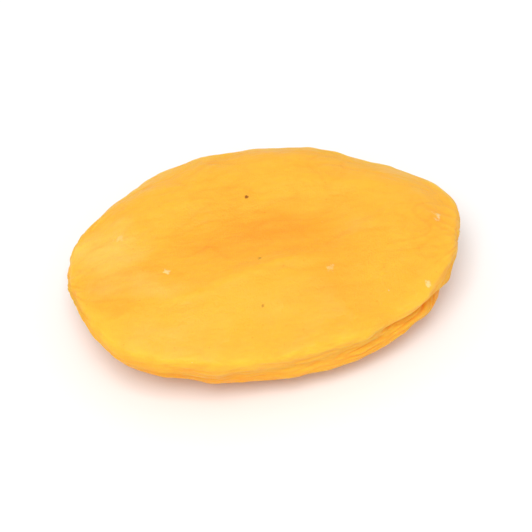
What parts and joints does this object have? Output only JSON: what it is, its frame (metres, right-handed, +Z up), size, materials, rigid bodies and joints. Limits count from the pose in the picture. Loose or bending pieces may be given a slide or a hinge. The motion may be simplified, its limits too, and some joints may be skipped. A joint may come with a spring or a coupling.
{
  "type": "dried apricot",
  "caption": "Whole stoned dried apricot: a soft, flattened oval fruit with a hollowed top, a pinched seam round its edge and a closed slit at the stem end.",
  "frame": {"origin": "middle of the flat spot that the fruit rests on, directly below the middle of its box", "axes": "+X along the fruit's length to the stem end with its slit, +Y across its width to the back, +Z up from the resting spot to the hollowed top face"},
  "size_m": [0.042, 0.028, 0.0115],
  "materials": {
    "dried_flesh": "golden orange translucent dried fruit flesh with a finely wrinkled, softly glossy skin"
  },
  "bodies": {
    "root": {"apricot": "dried_flesh"}
  },
  "joints": []
}
